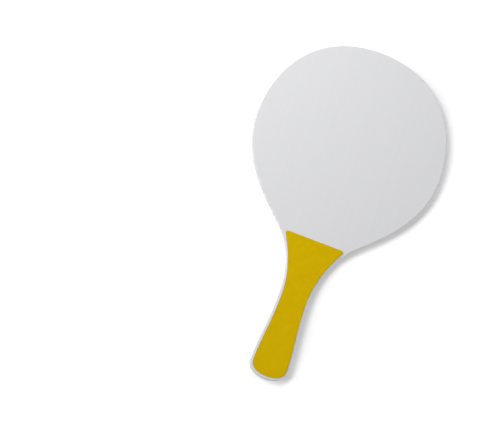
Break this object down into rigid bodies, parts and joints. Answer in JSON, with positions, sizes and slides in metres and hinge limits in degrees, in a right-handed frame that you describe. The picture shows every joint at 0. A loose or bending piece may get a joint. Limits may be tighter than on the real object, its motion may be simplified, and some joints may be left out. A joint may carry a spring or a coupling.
{
  "type": "beach tennis racket",
  "caption": "Flat round-headed plywood bat with white faces and edge, a waisted handle and a foam grip pad on each side.",
  "frame": {"origin": "under the middle of the racket's length and width, on the plane that the back grip pad's flat face lies on", "axes": "+Y from the handle's end to the head's crown, +X across the racket, +Z out of the front face"},
  "size_m": [0.1854, 0.33, 0.008],
  "materials": {
    "white_film": "smooth white facing film, satin",
    "white_paint": "white edge sealing paint, satin",
    "face_veneer": "rotary-cut veneer, bare",
    "cross_veneer": "rotary-cut veneer, grain across the racket, bare",
    "yellow_foam": "closed-cell foam, matte",
    "pad_tape": "double-sided tape"
  },
  "bodies": {
    "root": {"back_film": "white_film", "back_ply": "face_veneer", "back_cross_ply": "cross_veneer", "core_ply": "face_veneer", "front_cross_ply": "cross_veneer", "front_ply": "face_veneer", "front_film": "white_film", "edge_paint": "white_paint", "front_pad_tape": "pad_tape", "front_grip_pad": "yellow_foam", "back_pad_tape": "pad_tape", "back_grip_pad": "yellow_foam"}
  },
  "joints": []
}
